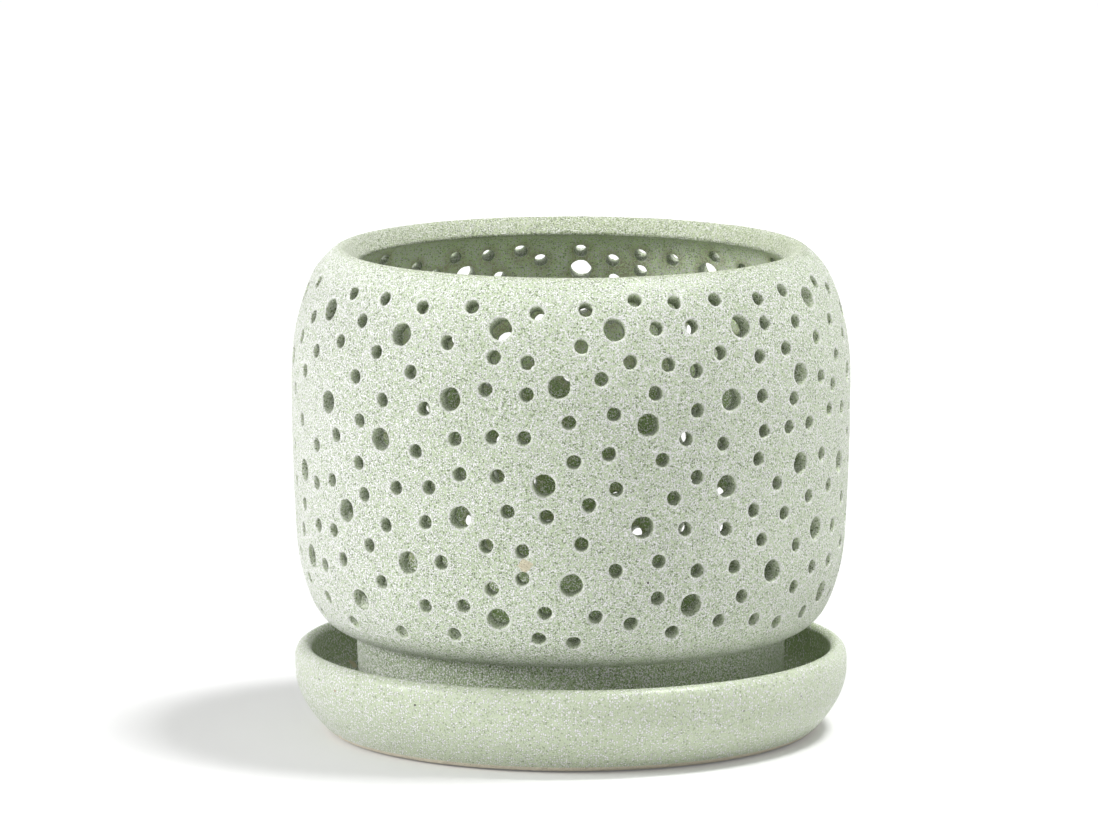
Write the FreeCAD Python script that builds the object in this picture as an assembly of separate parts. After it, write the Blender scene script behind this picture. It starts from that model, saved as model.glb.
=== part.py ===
import FreeCAD, Part
import math
import os

from FreeCAD import Vector

# A round ceramic orchid pot, pierced all over with holes, standing on its foot in a loose saucer.
# Lengths are in millimetres and turns in degrees. Z is up, and the saucer's base centre is the origin.
# Every profile lies in the XZ plane, where X is the radius, and is turned round Z.

# The saucer.
SAUCER_RADIUS = 79.5
SAUCER_WIDEST_HEIGHT = 19.0
SAUCER_HEIGHT = 25.0
SAUCER_RIM_RADIUS = 76.7
SAUCER_WALL = 4.8
SAUCER_TURN_RADIUS = 76.7
SAUCER_TURN_HEIGHT = 9.0
SAUCER_GLAZE_LINE_RADIUS = 70.5
SAUCER_GLAZE_LINE_HEIGHT = 1.2
SAUCER_BASE_RADIUS = 67.9
SAUCER_BASE_RING = 8.0
SAUCER_RECESS_DEPTH = 1.2
SAUCER_RECESS_SLOPE = 1.5

# The pot's outside.
POT_RADIUS = 80.0
POT_HEIGHT = 139.4
WIDEST_HEIGHT = 103.3
SHOULDER_RADIUS = 74.7
SHOULDER_HEIGHT = 130.2
FLANK_RADIUS = 78.6
FLANK_HEIGHT = 55.9
BELLY_RADIUS = 73.7
BELLY_HEIGHT = 36.8
WALL = 5.0

# The pot's mouth. The lip slopes inward from the crest to a sharp edge, and the wall recedes below it.
RIM_RADIUS = 65.9
RIM_ROUND = 2.5
LIP_RADIUS = 60.5
LIP_DROP = 5.3
RIM_OUTER_SHARES = (0.5, 0.15)
RIM_INNER_SHARES = (0.7, 0.25)

# The pot's foot, which stands on the saucer's floor, with the drain hole in its middle.
FOOT_RADIUS = 61.6
FOOT_TOP = 28.9
FOOT_DRAFT = 0.7
FOOT_ROUND = 1.0
FOOT_RECESS_DEPTH = 2.5
FLOOR_THICKNESS = 6.0
FLOOR_CORNER = 5.0
DRAIN_RADIUS = 8.0
DRAIN_ROUND = 1.5

# The holes. Each is a plain bore, square to the wall.
LARGE_BORE = 6.2
SMALL_BORE = 3.9
HOLE_LAND = 3.0
OVERRUN = 0.5

# Places of the holes on the front half of the wall. Each height is a share of the way from the foot's
# top to the rim, and the turns are from the front, towards +X.
LARGE_FRONT_SHARES = {
    0.91: (63,),
    0.89: (-86,),
    0.88: (-63, -15, 9),
    0.87: (38,),
    0.85: (-38,),
    0.84: (86,),
    0.74: (-2.5,),
    0.73: (-83, 54),
    0.70: (-25,),
    0.69: (34, 80),
    0.65: (-59,),
    0.64: (15.5,),
    0.58: (-42,),
    0.57: (-86,),
    0.50: (54,),
    0.49: (-5.5,),
    0.47: (33, 73),
    0.45: (-72,),
    0.40: (-23,),
    0.38: (-53, 14.5),
    0.32: (61,),
    0.31: (-85, 84),
    0.27: (-35.5,),
    0.235: (0, 46),
    0.23: (-70,),
    0.17: (25.5, 83),
    0.15: (-50.5,),
    0.14: (-15.5, 68),
    0.13: (-84,),
}
SMALL_FRONT_SHARES = {
    0.95: (14,),
    0.94: (23, 33, 54, 70, 88.5),
    0.93: (-76, -56, -45, -22, 3, 45),
    0.92: (-34, -7.5),
    0.91: (77,),
    0.88: (18, 26),
    0.87: (-50, 45),
    0.86: (55,),
    0.85: (-71,),
    0.84: (-26.5, 2, 71),
    0.81: (-56, -16, 32, 62),
    0.80: (-87, -44, -9, 12, 50),
    0.79: (-76, 20, 42, 79),
    0.77: (-65.5, 26),
    0.76: (-34.5, 6, 88),
    0.75: (71,),
    0.73: (-49.5, -17.5),
    0.72: (-9, 17),
    0.71: (-71, 62),
    0.69: (42,),
    0.68: (-41.5, 68),
    0.67: (-31, 8.5, 26, 51.5, 88),
    0.65: (-79, -0.5),
    0.62: (-48, 66),
    0.61: (-16, -9.5, 74),
    0.60: (-24, 23.5, 42.5, 50, 57, 83),
    0.58: (-73, 32),
    0.57: (-56, 7.5),
    0.56: (-33,),
    0.55: (0.5, 18.5),
    0.53: (-64.5, 41, 80),
    0.51: (-48.5, -23, -15, 62.5),
    0.50: (-81, 26),
    0.49: (88.5,),
    0.48: (9,),
    0.47: (-30,),
    0.46: (-38, 46.5),
    0.45: (-58, 21, 83),
    0.44: (-88, 3.5),
    0.43: (-65, -47),
    0.42: (-13, 66.5),
    0.41: (-80, -5, 57.5),
    0.40: (40,),
    0.39: (88,),
    0.38: (-31, 49),
    0.37: (23.5, 76),
    0.36: (-73, -41, 33),
    0.34: (2,),
    0.33: (-17.5,),
    0.32: (-65, -58, -10, 42.5),
    0.31: (70,),
    0.30: (-46,),
    0.29: (-75, 18, 53.5),
    0.28: (-27.5,),
    0.27: (9,),
    0.26: (26.5, 35.5),
    0.25: (-55, -10, 78),
    0.22: (-80, -63, -16.5, 60.5, 69),
    0.21: (-43, 88.5),
    0.195: (18,),
    0.18: (38, 54),
    0.17: (-23,),
    0.16: (-75, -32, -5.5),
    0.15: (5,),
    0.13: (-65, 12.5),
    0.12: (33, 76),
    0.11: (43,),
    0.10: (22, 61),
    0.09: (-26, -7, 51),
    0.08: (-56, -40, 0.5),
    0.07: (-74, 86),
}

# The holes behind that show through the mouth or through the front holes. Below COPY_TOP_SHARE the
# other holes behind repeat the front half, turned half way round, wherever they crowd none of these.
LARGE_BACK_SHARES = {
    0.87: (112, 146),
    0.86: (177.5,),
    0.85: (205, 238),
    0.76: (178,),
    0.65: (194,),
    0.47: (214,),
    0.25: (144.5,),
}
SMALL_BACK_SHARES = {
    0.93: (122, 231, 251),
    0.92: (101, 143, 177.5, 192),
    0.91: (163, 200, 208.5),
    0.90: (155,),
    0.89: (135, 170, 187, 219),
    0.86: (102, 163.5, 213, 228),
    0.85: (124, 263),
    0.84: (196.5, 249),
    0.83: (134, 170, 220),
    0.71: (186.5,),
    0.69: (153,),
    0.65: (180,),
    0.555: (180, 198.5),
    0.48: (204.5,),
    0.475: (189,),
    0.40: (154,),
    0.225: (169.5,),
    0.17: (203.5,),
    0.165: (143.5,),
    0.15: (153,),
    0.145: (185,),
    0.13: (164.5,),
}
COPY_TOP_SHARE = 0.82
HALF_TURN = 180.0
FULL_TURN = 360.0

# The saucer's floor carries the foot.
SAUCER_FLOOR = SAUCER_RECESS_DEPTH + SAUCER_WALL
POT_FLOOR = SAUCER_FLOOR + FOOT_RECESS_DEPTH + FLOOR_THICKNESS

# The pot is turned a sector at a time, and its sectors meet where a four-part mould would leave its seams.
# The long curves of its wall are conical bands that stray no further than BAND_SAG from the true arc.
SECTORS = 4
SEAM_TURN = 5.3
BAND_SAG = 0.05

UP = (0, 1)
DOWN = (0, -1)
INWARD = (-1, 0)
OUTWARD = (1, 0)


class Span:
    """A stretch of a profile from start to end: an arc that leaves along heading, or a straight line."""

    def __init__(self, start, end, heading=None):
        self.start = start
        self.end = end
        chord = (end[0] - start[0], end[1] - start[1])
        square = chord[0] ** 2 + chord[1] ** 2
        if heading is None:
            size = math.sqrt(square)
            heading = (chord[0] / size, chord[1] / size)
        along = chord[0] * heading[0] + chord[1] * heading[1]
        across = chord[1] * heading[0] - chord[0] * heading[1]
        self.end_heading = (
            2 * along * chord[0] / square - heading[0],
            2 * along * chord[1] / square - heading[1],
        )
        self.centre = None
        if abs(across) > 1e-6 * math.sqrt(square):
            self.radius = square / (2 * across)
            self.centre = (
                start[0] - self.radius * heading[1],
                start[1] + self.radius * heading[0],
            )

    def edge(self):
        first = Vector(self.start[0], 0, self.start[1])
        last = Vector(self.end[0], 0, self.end[1])
        if self.centre is None:
            return Part.LineSegment(first, last).toShape()
        middle = Vector(self.centre[0], 0, self.centre[1])
        bisector = ((first + last) * 0.5 - middle).normalize()
        return Part.Arc(first, middle + bisector * abs(self.radius), last).toShape()

    def holds(self, height):
        return min(self.start[1], self.end[1]) <= height <= max(self.start[1], self.end[1])

    def outside_at(self, height):
        """The radius at a height, and the outward normal there, as (radial, upward)."""
        if self.centre is None:
            share = (height - self.start[1]) / (self.end[1] - self.start[1])
            return self.start[0] + share * (self.end[0] - self.start[0]), OUTWARD
        size = abs(self.radius)
        rise = (height - self.centre[1]) / size
        run = math.sqrt(1 - rise ** 2)
        return self.centre[0] + size * run, (run, rise)


def chain(start, heading, ends):
    """Arcs one after another, each leaving along the last one's heading."""
    spans = []
    for end in ends:
        spans.append(Span(start, end, heading))
        start = end
        heading = spans[-1].end_heading
    return spans


def straight(points):
    return [Span(first, last) for first, last in zip(points, points[1:])]


def banded(spans):
    """The spans, with each arc whose circle crosses the axis as short chords."""
    bands = []
    for span in spans:
        if span.centre is None or abs(span.radius) < span.centre[0]:
            bands.append(span)
            continue
        size = abs(span.radius)
        first = math.asin((span.start[1] - span.centre[1]) / size)
        last = math.asin((span.end[1] - span.centre[1]) / size)
        count = math.ceil(abs(last - first) / (2 * math.acos(1 - BAND_SAG / size)))
        points = [span.start]
        for step in range(1, count):
            rise = first + (last - first) * step / count
            points.append((span.centre[0] + size * math.cos(rise), span.centre[1] + size * math.sin(rise)))
        bands += straight(points + [span.end])
    return bands


def inset(point, heading, depth):
    """The point moved into the wall, square to the heading, which runs up the wall's outside."""
    return (point[0] - depth * heading[1], point[1] + depth * heading[0])


def turned(spans, sectors=1, start=0.0):
    """The closed profile, turned once round Z in equal sectors from a starting turn."""
    face = Part.Face(Part.Wire([span.edge() for span in spans]))
    step = FULL_TURN / sectors
    solids = []
    for sector in range(sectors):
        section = face.copy()
        section.rotate(Vector(0, 0, 0), Vector(0, 0, 1), start + sector * step)
        solids.append(section.revolve(Vector(0, 0, 0), Vector(0, 0, 1), step))
    return solids[0].fuse(solids[1:]) if sectors > 1 else solids[0]


def upper_outside():
    """The pot's outside from its widest height up to the rim's rounding."""
    rim_start = (
        RIM_RADIUS + RIM_OUTER_SHARES[0] * RIM_ROUND,
        POT_HEIGHT - RIM_OUTER_SHARES[1] * RIM_ROUND,
    )
    return chain((POT_RADIUS, WIDEST_HEIGHT), UP, [(SHOULDER_RADIUS, SHOULDER_HEIGHT), rim_start])


def lower_outside():
    """The pot's outside from its widest height down to the foot's top."""
    points = [(FLANK_RADIUS, FLANK_HEIGHT), (BELLY_RADIUS, BELLY_HEIGHT), (FOOT_RADIUS, FOOT_TOP)]
    return chain((POT_RADIUS, WIDEST_HEIGHT), DOWN, points)


def pot_profile():
    upper = upper_outside()
    lower = lower_outside()

    lip_top = (
        RIM_RADIUS - RIM_INNER_SHARES[0] * RIM_ROUND,
        POT_HEIGHT - RIM_INNER_SHARES[1] * RIM_ROUND,
    )
    lip_edge = (LIP_RADIUS, POT_HEIGHT - LIP_DROP)
    lip = chain(upper[-1].end, upper[-1].end_heading, [lip_top, lip_edge])

    # The inside keeps the wall's thickness from the shoulder down to the foot.
    shoulder = inset(upper[0].end, upper[0].end_heading, WALL)
    inner_widest = (POT_RADIUS - WALL, WIDEST_HEIGHT)
    inner_upper = chain(inner_widest, UP, [shoulder, lip_edge])
    joints = [inset(span.end, span.end_heading, -WALL) for span in lower]
    inner_lower = chain(inner_widest, DOWN, joints)

    well_radius = FOOT_RADIUS - FOOT_DRAFT - WALL
    ledge = inner_lower[-1].end
    well_top = (well_radius, ledge[1] - (ledge[0] - well_radius))
    well_mouth = chain(ledge, INWARD, [well_top])
    well_side = straight([well_top, (well_radius, POT_FLOOR + FLOOR_CORNER)])
    corner = chain(well_side[-1].end, DOWN, [(well_radius - FLOOR_CORNER, POT_FLOOR)])
    drain_edge = (DRAIN_RADIUS + DRAIN_ROUND, POT_FLOOR)
    floor = straight([corner[-1].end, drain_edge])
    drain_lip = chain(drain_edge, INWARD, [(DRAIN_RADIUS, POT_FLOOR - DRAIN_ROUND)])

    # The foot ring stands round a shallow recess.
    foot_edge = FOOT_RADIUS - FOOT_DRAFT
    recess_radius = foot_edge - WALL - FOOT_ROUND
    ceiling = SAUCER_FLOOR + FOOT_RECESS_DEPTH
    under = straight([
        drain_lip[-1].end,
        (DRAIN_RADIUS, ceiling),
        (recess_radius, ceiling),
        (recess_radius, SAUCER_FLOOR + FOOT_ROUND),
    ])
    inner_round = chain(under[-1].end, DOWN, [(recess_radius + FOOT_ROUND, SAUCER_FLOOR)])
    seat = straight([inner_round[-1].end, (foot_edge - FOOT_ROUND, SAUCER_FLOOR)])
    outer_round = chain(seat[-1].end, OUTWARD, [(foot_edge, SAUCER_FLOOR + FOOT_ROUND)])
    foot_side = straight([outer_round[-1].end, (FOOT_RADIUS, FOOT_TOP)])

    outside = foot_side + banded(lower)[::-1] + banded(upper) + lip
    inside = banded(inner_upper)[::-1] + banded(inner_lower) + well_mouth + well_side + corner
    return outside + inside + floor + drain_lip + under + inner_round + seat + outer_round


def saucer_profile():
    rim_half = SAUCER_WALL / 2
    rim_base = SAUCER_HEIGHT - rim_half
    widest = (SAUCER_RADIUS, SAUCER_WIDEST_HEIGHT)
    outer_rim = (SAUCER_RIM_RADIUS + rim_half, rim_base)
    upper = chain(widest, UP, [outer_rim])
    crest = chain(outer_rim, upper[0].end_heading, [(SAUCER_RIM_RADIUS, SAUCER_HEIGHT)])
    inner_rim = (SAUCER_RIM_RADIUS - rim_half, rim_base)
    crest += chain(crest[0].end, crest[0].end_heading, [inner_rim])

    lower = chain(widest, DOWN, [
        (SAUCER_TURN_RADIUS, SAUCER_TURN_HEIGHT),
        (SAUCER_GLAZE_LINE_RADIUS, SAUCER_GLAZE_LINE_HEIGHT),
    ])
    lower += chain(lower[-1].end, lower[-1].end_heading, [(SAUCER_BASE_RADIUS, 0)])

    ring_inner = SAUCER_BASE_RADIUS - SAUCER_BASE_RING
    under = straight([
        (SAUCER_BASE_RADIUS, 0),
        (ring_inner, 0),
        (ring_inner - SAUCER_RECESS_SLOPE, SAUCER_RECESS_DEPTH),
        (0, SAUCER_RECESS_DEPTH),
        (0, SAUCER_FLOOR),
    ])

    # The inside keeps the wall's thickness, and runs into a flat floor.
    inner_wall = (SAUCER_RADIUS - SAUCER_WALL, SAUCER_WIDEST_HEIGHT)
    turn = inset(lower[0].end, lower[0].end_heading, -SAUCER_WALL)
    inner_lower = chain(inner_wall, DOWN, [turn])
    floor_edge = landing(turn, inner_lower[-1].end_heading, SAUCER_FLOOR)
    inner_lower += chain(turn, inner_lower[-1].end_heading, [floor_edge])
    inner_upper = chain(inner_wall, UP, [inner_rim])
    floor = straight([(0, SAUCER_FLOOR), floor_edge])
    outside = lower[::-1] + upper + crest
    return outside + inner_upper[::-1] + inner_lower + floor[::-1] + under[::-1]


def landing(start, heading, floor):
    """Where an arc that leaves start along heading, down and inward, meets the floor level."""
    reach = (start[1] - floor) * heading[1] / (1 + heading[0])
    return (start[0] + reach, floor)


def wall_place(share):
    """The radius, height and outward normal of the pot's outside at a share of its wall."""
    height = FOOT_TOP + share * (POT_HEIGHT - FOOT_TOP)
    for span in upper_outside() + lower_outside():
        if span.holds(height):
            radius, normal = span.outside_at(height)
            return radius, height, normal
    raise ValueError("no wall at this height")


def hole_cutter(bore):
    """A plug along +Z whose mouth lies at the origin."""
    reach = WALL + WALL + OVERRUN
    return Part.makeCylinder(bore / 2, reach + OVERRUN, Vector(0, 0, -reach))


def hole_list():
    """Every hole as (point, normal, bore)."""
    back = places(LARGE_BACK_SHARES, LARGE_BORE) + places(SMALL_BACK_SHARES, SMALL_BORE)
    front = places(LARGE_FRONT_SHARES, LARGE_BORE) + places(SMALL_FRONT_SHARES, SMALL_BORE)
    copies = places(LARGE_FRONT_SHARES, LARGE_BORE, HALF_TURN, COPY_TOP_SHARE)
    copies += places(SMALL_FRONT_SHARES, SMALL_BORE, HALF_TURN, COPY_TOP_SHARE)
    kept = [copy for copy in copies if all(apart(copy, other) for other in back)]
    return front + back + kept


def places(table, bore, start=0.0, top=1.0):
    found = []
    for share, turns in table.items():
        if share > top:
            continue
        radius, height, (out, rise) = wall_place(share)
        for turn in turns:
            angle = math.radians(start + turn)
            side, back = math.sin(angle), -math.cos(angle)
            point = Vector(radius * side, radius * back, height)
            found.append((point, Vector(out * side, out * back, rise), bore))
    return found


def apart(one, other):
    """Whether two holes leave a land between them."""
    return one[0].distanceToPoint(other[0]) > (one[2] + other[2]) / 2 + HOLE_LAND


def pot():
    cutters = {bore: hole_cutter(bore) for bore in (LARGE_BORE, SMALL_BORE)}
    plugs = []
    for point, normal, bore in hole_list():
        plug = cutters[bore].copy()
        plug.Placement = FreeCAD.Placement(point, FreeCAD.Rotation(Vector(0, 0, 1), normal))
        plugs.append(plug)
    return turned(pot_profile(), SECTORS, SEAM_TURN).cut(plugs)


def saucer():
    return turned(saucer_profile())


os.makedirs("parts", exist_ok=True)
for name, make in (("saucer", saucer), ("pot", pot)):
    shape = make()
    solid = shape.Solids[0]
    print(name, len(shape.Solids), "solid", round(solid.Volume), "mm3", solid.isValid())
    solid.exportStep("parts/" + name + ".step")
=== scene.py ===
import math
from collections import namedtuple

import bpy
import numpy as np
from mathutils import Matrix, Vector, noise
from mathutils.bvhtree import BVHTree
from mathutils.geometry import delaunay_2d_cdt


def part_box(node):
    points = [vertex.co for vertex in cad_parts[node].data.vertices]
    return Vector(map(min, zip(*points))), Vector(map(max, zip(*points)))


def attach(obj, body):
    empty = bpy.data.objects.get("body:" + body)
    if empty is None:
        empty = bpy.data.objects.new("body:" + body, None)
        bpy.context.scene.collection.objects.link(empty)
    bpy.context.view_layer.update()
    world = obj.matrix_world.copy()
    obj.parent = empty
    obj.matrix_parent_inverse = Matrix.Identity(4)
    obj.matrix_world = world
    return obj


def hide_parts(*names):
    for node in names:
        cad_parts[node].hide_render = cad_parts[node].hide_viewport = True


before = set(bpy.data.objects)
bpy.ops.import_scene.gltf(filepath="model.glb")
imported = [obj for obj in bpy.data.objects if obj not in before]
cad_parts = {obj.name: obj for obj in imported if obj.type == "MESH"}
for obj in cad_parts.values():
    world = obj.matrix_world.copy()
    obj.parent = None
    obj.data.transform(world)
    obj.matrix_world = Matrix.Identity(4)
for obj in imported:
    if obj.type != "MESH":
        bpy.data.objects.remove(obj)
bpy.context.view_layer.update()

# A pierced ceramic orchid pot in its saucer, with its glazes, on a white floor.
# Lengths are in metres. Turns are in radians round Z, from the front towards +X.
MM = 0.001
FULL_TURN = 2 * math.pi
SEED = 11

# The camera of the photograph.
CAMERA_DISTANCE = 2.3569
CAMERA_HEIGHT = 0.4572
CAMERA_SIDE = -0.00627
CAMERA_PITCH_DEGREES = 8.821
CAMERA_LENS_MM = 273.4
CAMERA_SENSOR_MM = 36.0
CAMERA_CLIP_END = 100.0

# A turned node's section is read from its mesh by level rays, so many at each height.
PROBES = 40
PROBE_PHASE = 0.37
PROBE_STEP = 0.25 * MM
CREST_STEPS = 12
CREST_NEAREST = 0.004 * MM
AXIS_OFFSET = 0.3 * MM
FAR = 1.0

# The skin that is built on a section. It is smoothed more widely where the section bends little, and each
# blur is cut off at so many times its width.
SKIN_STEP = 0.1 * MM
SHARP_BLUR = 0.35 * MM
SOFT_BLUR = 2.5 * MM
BLUR_REACH = 4
BEND_REACH = 2.5 * MM
BEND_BLUR = BEND_REACH / 4
BEND_SOFT = 0.3
BEND_SHARP = 0.6
LUMP_SIZE = 10 * MM
LUMP_DEPTH = 0.13 * MM
RIPPLE_SIZE = 3.2 * MM
RIPPLE_DEPTH = 0.05 * MM

# The holes in the pot's wall, and the glaze that rounds their mouths.
BORE_CLEAR = 0.8 * MM
BORE_NEAR = 12 * MM
WELD = 1e-6
RING_STEP = 0.8 * MM
RING_FEWEST = 14
BORE_WIDER_SHARE = 1.02
MOUTH_ROUND = 0.48 * MM
INNER_ROUND = 0.28 * MM
LAND_SHARE = 0.3
HALO = 0.55 * MM
HALO_CLEAR = 0.45 * MM
BORE_OVAL = 0.02
BORE_RAGGED = 0.07
BORE_RAGS = 1.6
BORE_PHASE = 0.02
BORE_ROUGHNESS = 0.07 * MM

# How dark a bore is painted in its middle, as painted shade, how much of its own colour shows at its inner
# mouth, and how deep its last plain ring lies there, in roundings of that mouth.
BORE_SHADE_MIDDLE = 0.3
BORE_INNER_SHARE = 0.4
BORE_INNER_RING = 2

# How far apart the points lie from which the pot's pierced skin is triangulated, outside, at the lip and
# inside. Their rows are a share of that apart.
OUTER_GAP = 1.9 * MM
LIP_GAP = 1.35 * MM
INNER_GAP = 2.7 * MM
LIP_ZONE = 7 * MM
ROW_SHARE = math.sqrt(0.75)
POINT_JITTER = 0.17
SEAM_MARGIN = 14 * MM
BORDER_COLUMNS = 216
TRIANGLE_NEAR = 1e-6

# The rows of the pot's foot and floor, and how the lip and the corner of the floor are found.
FOOT_ROWS = 46
LIP_HEIGHT_SHARE = 0.1
WELL_MARGIN = 4 * MM
WELL_SHARE = 0.14

# How far below the crest the lip's glaze starts to thin, how far past the lip the inside's colours are
# full, how far past it the shadow under it ends, and how high above the pot's foot its glaze stops.
LIP_SHADE = 3 * MM
UNDER_FROM = 1.2 * MM
UNDER_TO = 4 * MM
SEAT_GLAZE_LINE = 1.1 * MM

# The saucer, and the ragged line above its base where its glaze stops.
SAUCER_COLUMNS = 300
SAUCER_ROWS = 104
GLAZE_LINE = 2.0 * MM
GLAZE_LINE_RAGGED = 0.5 * MM
GLAZE_LINE_SIZE = 5 * MM
GLAZE_THICK = 0.22 * MM

# Rows lie closer where the section bends: this length of it counts as much as this turn of it.
ROW_LONGEST = 3.2 * MM
ROW_TURN = 0.14

# A hole has its turn round Z, its radius, the arc lengths of its outer and inner mouths, the direction of
# its axis and its depth. A mouth has a turn, a radius and an arc length, its side, which is 1 outside and
# -1 inside, and how far it is rounded.
Hole = namedtuple("Hole", "turn radius outer inner axis depth")
Mouth = namedtuple("Mouth", "turn radius along side rim")

draws = np.random.default_rng(SEED)


def level_hit(tree, height, turn, inside):
    """How far from the axis a level ray meets the node, or None."""
    out = Vector((math.sin(turn), -math.cos(turn), 0))
    start = Vector((0, 0, height))
    if inside:
        hit = tree.ray_cast(start, out)[0]
    else:
        hit = tree.ray_cast(start + out * FAR, -out)[0]
    return math.hypot(hit.x, hit.y) if hit else None


def wall_radius(tree, height, inside):
    """The radius of a wall, holes left out: the widest hit from outside, the nearest from inside."""
    turns = [FULL_TURN * (probe + PROBE_PHASE) / PROBES for probe in range(PROBES)]
    hits = [level_hit(tree, height, turn, inside) for turn in turns]
    hits = [hit for hit in hits if hit is not None]
    if not hits:
        return 0.0
    return min(hits) if inside else max(hits)


def axis_levels(tree, high):
    """The highest and lowest level at which the axis meets the node, or None where it stays clear."""
    levels = []
    start = Vector((AXIS_OFFSET, AXIS_OFFSET, high + FAR))
    hit = tree.ray_cast(start, Vector((0, 0, -1)))[0]
    while hit:
        levels.append(hit.z)
        hit = tree.ray_cast(hit - Vector((0, 0, CREST_NEAREST)), Vector((0, 0, -1)))[0]
    return (levels[0], levels[-1]) if levels else None


def read_section(node):
    """A node's outside, rising, its inside, falling, as arrays of (radius, height), and its solid core."""
    low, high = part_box(node)
    low, high = low.z, high.z
    tree = BVHTree.FromObject(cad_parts[node], bpy.context.evaluated_depsgraph_get())
    crest = high - np.geomspace(CREST_NEAREST, PROBE_STEP, CREST_STEPS)
    heights = np.arange(low + CREST_NEAREST, high - PROBE_STEP, PROBE_STEP)
    heights = np.concatenate([heights, crest[::-1]])
    outer = np.array([(wall_radius(tree, height, False), height) for height in heights])
    core = axis_levels(tree, high)
    inner = []
    for height in heights[::-1]:
        solid = core is not None and core[1] <= height <= core[0]
        inner.append((0.0 if solid else wall_radius(tree, height, True), height))
    return outer, np.array(inner), core


def lumps(places, size, depth):
    """A soft unevenness between nothing and a depth, at each place."""
    return np.array([depth * (0.5 + 0.5 * noise.noise(Vector(place) / size)) for place in places])


class Skin:
    """The surface of a turned piece by arc length on its section, rising outside and falling inside."""

    def __init__(self, points, closed):
        if closed:
            points = np.vstack([points, points[:1]])
        steps = np.hypot(*np.diff(points, axis=0).T)
        lengths = np.concatenate([[0], np.cumsum(steps)])
        self.closed = closed
        self.along = np.linspace(0, lengths[-1], int(lengths[-1] / SKIN_STEP) + 1)
        self.length = lengths[-1]
        plain = [np.interp(self.along, lengths, points[:, side]) for side in (0, 1)]
        sharp = [self.blurred(values, SHARP_BLUR) for values in plain]
        soft = [self.blurred(values, SOFT_BLUR) for values in plain]
        share = self.bends(*sharp)
        self.radius, self.height = [first + share * (last - first) for first, last in zip(soft, sharp)]
        run, rise = np.gradient(self.radius), np.gradient(self.height)
        size = np.hypot(run, rise)
        self.out, self.rise = rise / size, -run / size
        self.crest = self.along[np.argmax(self.height)]

    def bends(self, radius, height):
        """1 where the section turns sharply, and 0 where it runs nearly straight."""
        heading = np.unwrap(np.arctan2(np.gradient(height), np.gradient(radius)))
        reach = round(BEND_REACH / SKIN_STEP)
        steps = np.arange(len(heading))
        bend = np.abs(np.interp(steps + reach, steps, heading) - np.interp(steps - reach, steps, heading))
        return self.blurred(ramp(bend, BEND_SOFT, BEND_SHARP), BEND_BLUR)

    def blurred(self, values, blur):
        reach = round(BLUR_REACH * blur / SKIN_STEP)
        offsets = np.arange(-reach, reach + 1) * SKIN_STEP
        kernel = np.exp(-0.5 * (offsets / blur) ** 2)
        kernel /= kernel.sum()
        if self.closed:
            padded = np.concatenate([values[-reach - 1:-1], values, values[1:reach + 1]])
        else:
            padded = np.pad(values, reach, mode="reflect", reflect_type="odd")
        return np.convolve(padded, kernel, mode="valid")

    def at(self, along, *tables):
        """The value of each table at an arc length, or at each of an array of them."""
        along = np.mod(along, self.length) if self.closed else along
        return [np.interp(along, self.along, table) for table in tables]

    def depth(self, turns, radius, height, along):
        """How far the uneven glaze lies under the plain skin."""
        places = np.stack([radius * np.sin(turns), -radius * np.cos(turns), height], axis=-1)
        return lumps(places, LUMP_SIZE, LUMP_DEPTH) + lumps(places, RIPPLE_SIZE, RIPPLE_DEPTH)

    def spots(self, turns, along):
        """The points of the skin at turns and arc lengths."""
        turns, along = np.broadcast_arrays(turns, along)
        radius, height, out, rise = self.at(along, self.radius, self.height, self.out, self.rise)
        depth = self.depth(turns, radius, height, along)
        radius, height = radius - out * depth, height - rise * depth
        return np.stack([radius * np.sin(turns), -radius * np.cos(turns), height], axis=-1)

    def rows(self, start, end, count):
        """Arc lengths from start to end, closer together where the section bends."""
        along = np.arange(start, end, SKIN_STEP)
        out, rise = self.at(along, self.out, self.rise)
        bend = np.abs(np.diff(np.unwrap(np.arctan2(rise, out))))
        weight = np.concatenate([[0], np.cumsum(bend / ROW_TURN + SKIN_STEP / ROW_LONGEST)])
        return np.interp(np.linspace(0, weight[-1], count), weight, along)


class SaucerSkin(Skin):
    """The saucer's skin, whose glaze stops short of the base on a ragged line."""

    def depth(self, turns, radius, height, along):
        depth = super().depth(turns, radius, height, along)
        bare = (height < glaze_line(turns, radius)) & (along < self.crest)
        return depth + np.where(bare, GLAZE_THICK, 0)


def glaze_line(turns, radius):
    """How high the ragged edge of the glaze runs above the base."""
    places = np.stack([radius * np.sin(turns), -radius * np.cos(turns), 0 * radius], axis=-1)
    return GLAZE_LINE - GLAZE_LINE_RAGGED + lumps(places, GLAZE_LINE_SIZE, 2 * GLAZE_LINE_RAGGED)


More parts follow.
